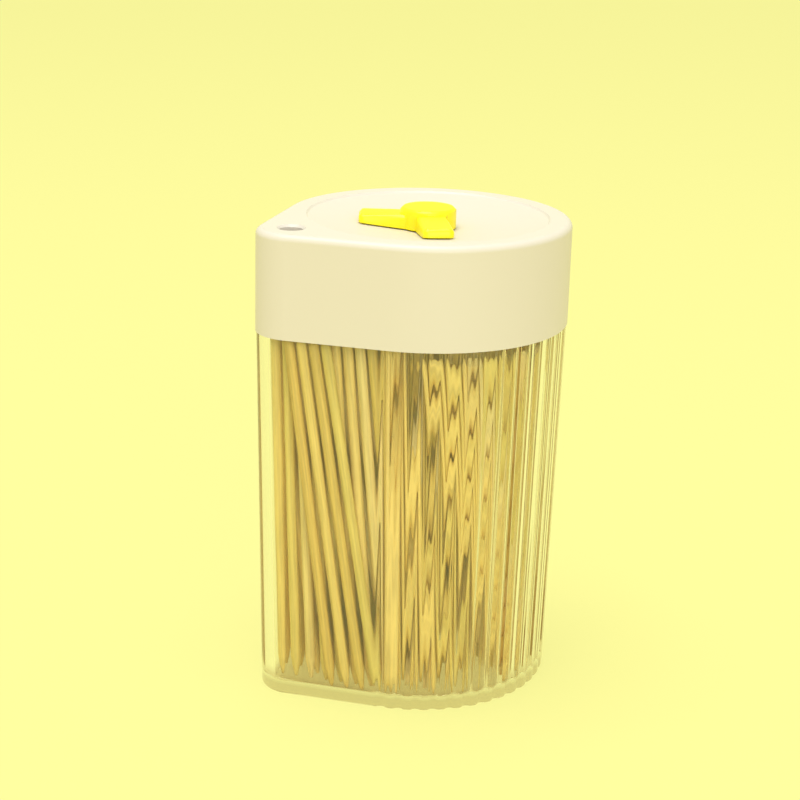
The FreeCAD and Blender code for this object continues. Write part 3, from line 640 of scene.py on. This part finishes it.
fibre_bump.inputs["Strength"].default_value = 0.25
fibre_bump.inputs["Distance"].default_value = 0.05 * MM
bamboo_shader.inputs["Roughness"].default_value = 0.6
let_through = bamboo_tree.nodes.new("ShaderNodeBsdfTranslucent")
let_through.inputs["Color"].default_value = (1.0, 0.72, 0.22, 1)
links = bamboo_tree.links
links.new(grain_at.outputs["Vector"], stretch.inputs["Vector"])
links.new(stretch.outputs["Vector"], fibre.inputs["Vector"])
links.new(tone_at.outputs["Fac"], stick_colour.inputs["Fac"])
links.new(fibre.outputs["Fac"], dark_fibre.inputs["Value"])
links.new(stick_colour.outputs["Color"], shaded.inputs[6])
links.new(dark_fibre.outputs["Result"], shaded.inputs[7])
links.new(shaded.outputs[2], bamboo_shader.inputs["Base Color"])
links.new(fibre.outputs["Fac"], fibre_bump.inputs["Height"])
links.new(fibre_bump.outputs["Normal"], bamboo_shader.inputs["Normal"])
whole = mix_of(bamboo_tree, LIGHT_THROUGH, bamboo_shader, let_through)
links.new(whole.outputs[0], bamboo_tree.nodes["Material Output"].inputs["Surface"])
for pick in picks + filling:
    dress(pick, bamboo)

# %% [markdown]
# The stage is one wide floor of pale yellow paper. The paper is lit like any surface, but to the
# eye most of its colour is even, as in the photograph, so only a faint shadow of the object is left.
# What is seen through the cup is hardly evened out.

# %% Floor
PAPER = (0.85, 0.80, 0.27, 1)
EVEN_PAPER = (1.0, 0.985, 0.35, 1)
EVENNESS = 0.75
EVENNESS_BEHIND = 0.05
FLOOR_SIZE = 8

start_fresh()
bpy.ops.mesh.primitive_plane_add(size=FLOOR_SIZE, location=(0, 0, 0))
floor = bpy.context.object
floor.name = "paper_floor"
paper, paper_tree, paper_shader = new_material("pale_paper")
paper_shader.inputs["Base Color"].default_value = PAPER
paper_shader.inputs["Roughness"].default_value = 0.9
paper_shader.inputs["Specular IOR Level"].default_value = 0.1
glow = paper_tree.nodes.new("ShaderNodeEmission")
glow.inputs["Color"].default_value = EVEN_PAPER
path = paper_tree.nodes.new("ShaderNodeLightPath").outputs
by_eye = maths(paper_tree, "MAXIMUM", path["Is Camera Ray"], path["Is Glossy Ray"])
even = maths(paper_tree, "MULTIPLY", by_eye, EVENNESS)
even_behind = maths(paper_tree, "MULTIPLY", path["Is Transmission Ray"], EVENNESS_BEHIND)
whole = mix_of(paper_tree, maths(paper_tree, "MAXIMUM", even, even_behind), paper_shader, glow)
paper_tree.links.new(whole.outputs[0], paper_tree.nodes["Material Output"].inputs["Surface"])
dress(floor, paper)

# %% [markdown]
# The world has the paper's yellow for whatever looks past the floor's edge. It counts as background
# only for rays that see it directly or in a reflection or refraction, and the light that it throws
# on the object is soft and nearly white.

# %% World
ROOM_LIGHT = 0.75

world = bpy.data.worlds.new("soft_room")
bpy.context.scene.world = world
world.use_nodes = True
world_tree = world.node_tree
room_light = world_tree.nodes["Background"]
room_light.inputs["Color"].default_value = (1.0, 0.99, 0.99, 1)
room_light.inputs["Strength"].default_value = ROOM_LIGHT
backdrop = world_tree.nodes.new("ShaderNodeBackground")
backdrop.inputs["Color"].default_value = (1.0, 0.98, 0.35, 1)
backdrop.inputs["Strength"].default_value = 1.0
path = world_tree.nodes.new("ShaderNodeLightPath").outputs
direct = maths(world_tree, "MAXIMUM", path["Is Camera Ray"], path["Is Transmission Ray"])
by_eye = maths(world_tree, "MAXIMUM", direct, path["Is Glossy Ray"])
whole = mix_of(world_tree, by_eye, room_light, backdrop)
world_tree.links.new(whole.outputs[0], world_tree.nodes["World Output"].inputs["Surface"])

# %% [markdown]
# One soft lamp hangs over the object and brightens the lid's top. A second one lights the sides
# from the front, a little to the right of the camera.

# %% Lamps
def soft_lamp(name, place, size, watts):
    start_fresh()
    bpy.ops.object.light_add(type="AREA", location=place)
    lamp = bpy.context.object
    lamp.name = name
    lamp.data.size = size
    lamp.data.energy = watts
    aim = (cad_low + cad_high) / 2 - Vector(place)
    lamp.rotation_euler = aim.to_track_quat("-Z", "Y").to_euler()


soft_lamp("overhead_lamp", (-0.12, 0, 0.95), 0.5, 5.5)
soft_lamp("front_lamp", (-0.35, -1.0, 0.4), 0.7, 3.8)

# %% [markdown]
# The camera stands where the photographer stood: a little above the lid, looking down by about 18
# degrees, with a slight roll. The focal length and place come from fitting the object's outline.

# %% Camera
CAMERA_PLACE = (-170.73 * MM, -283.87 * MM, 156.22 * MM)
CAMERA_TURN = math.radians(-30.3)
CAMERA_TILT = math.radians(17.542)
CAMERA_ROLL = math.radians(1.568)
CAMERA_LENS = 84.06
SENSOR_WIDTH = 36
NEAREST_SEEN = 0.01

turned = Matrix.Rotation(CAMERA_TURN, 4, "Z")
tilted = Matrix.Rotation(math.pi / 2 - CAMERA_TILT, 4, "X")
rolled = Matrix.Rotation(CAMERA_ROLL, 4, "Z")
start_fresh()
bpy.ops.object.camera_add(location=CAMERA_PLACE, rotation=(turned @ tilted @ rolled).to_euler())
camera = bpy.context.object
camera.data.lens = CAMERA_LENS
camera.data.sensor_width = SENSOR_WIDTH
camera.data.clip_start = NEAREST_SEEN
bpy.context.scene.camera = camera
bpy.context.scene.view_settings.view_transform = "Standard"
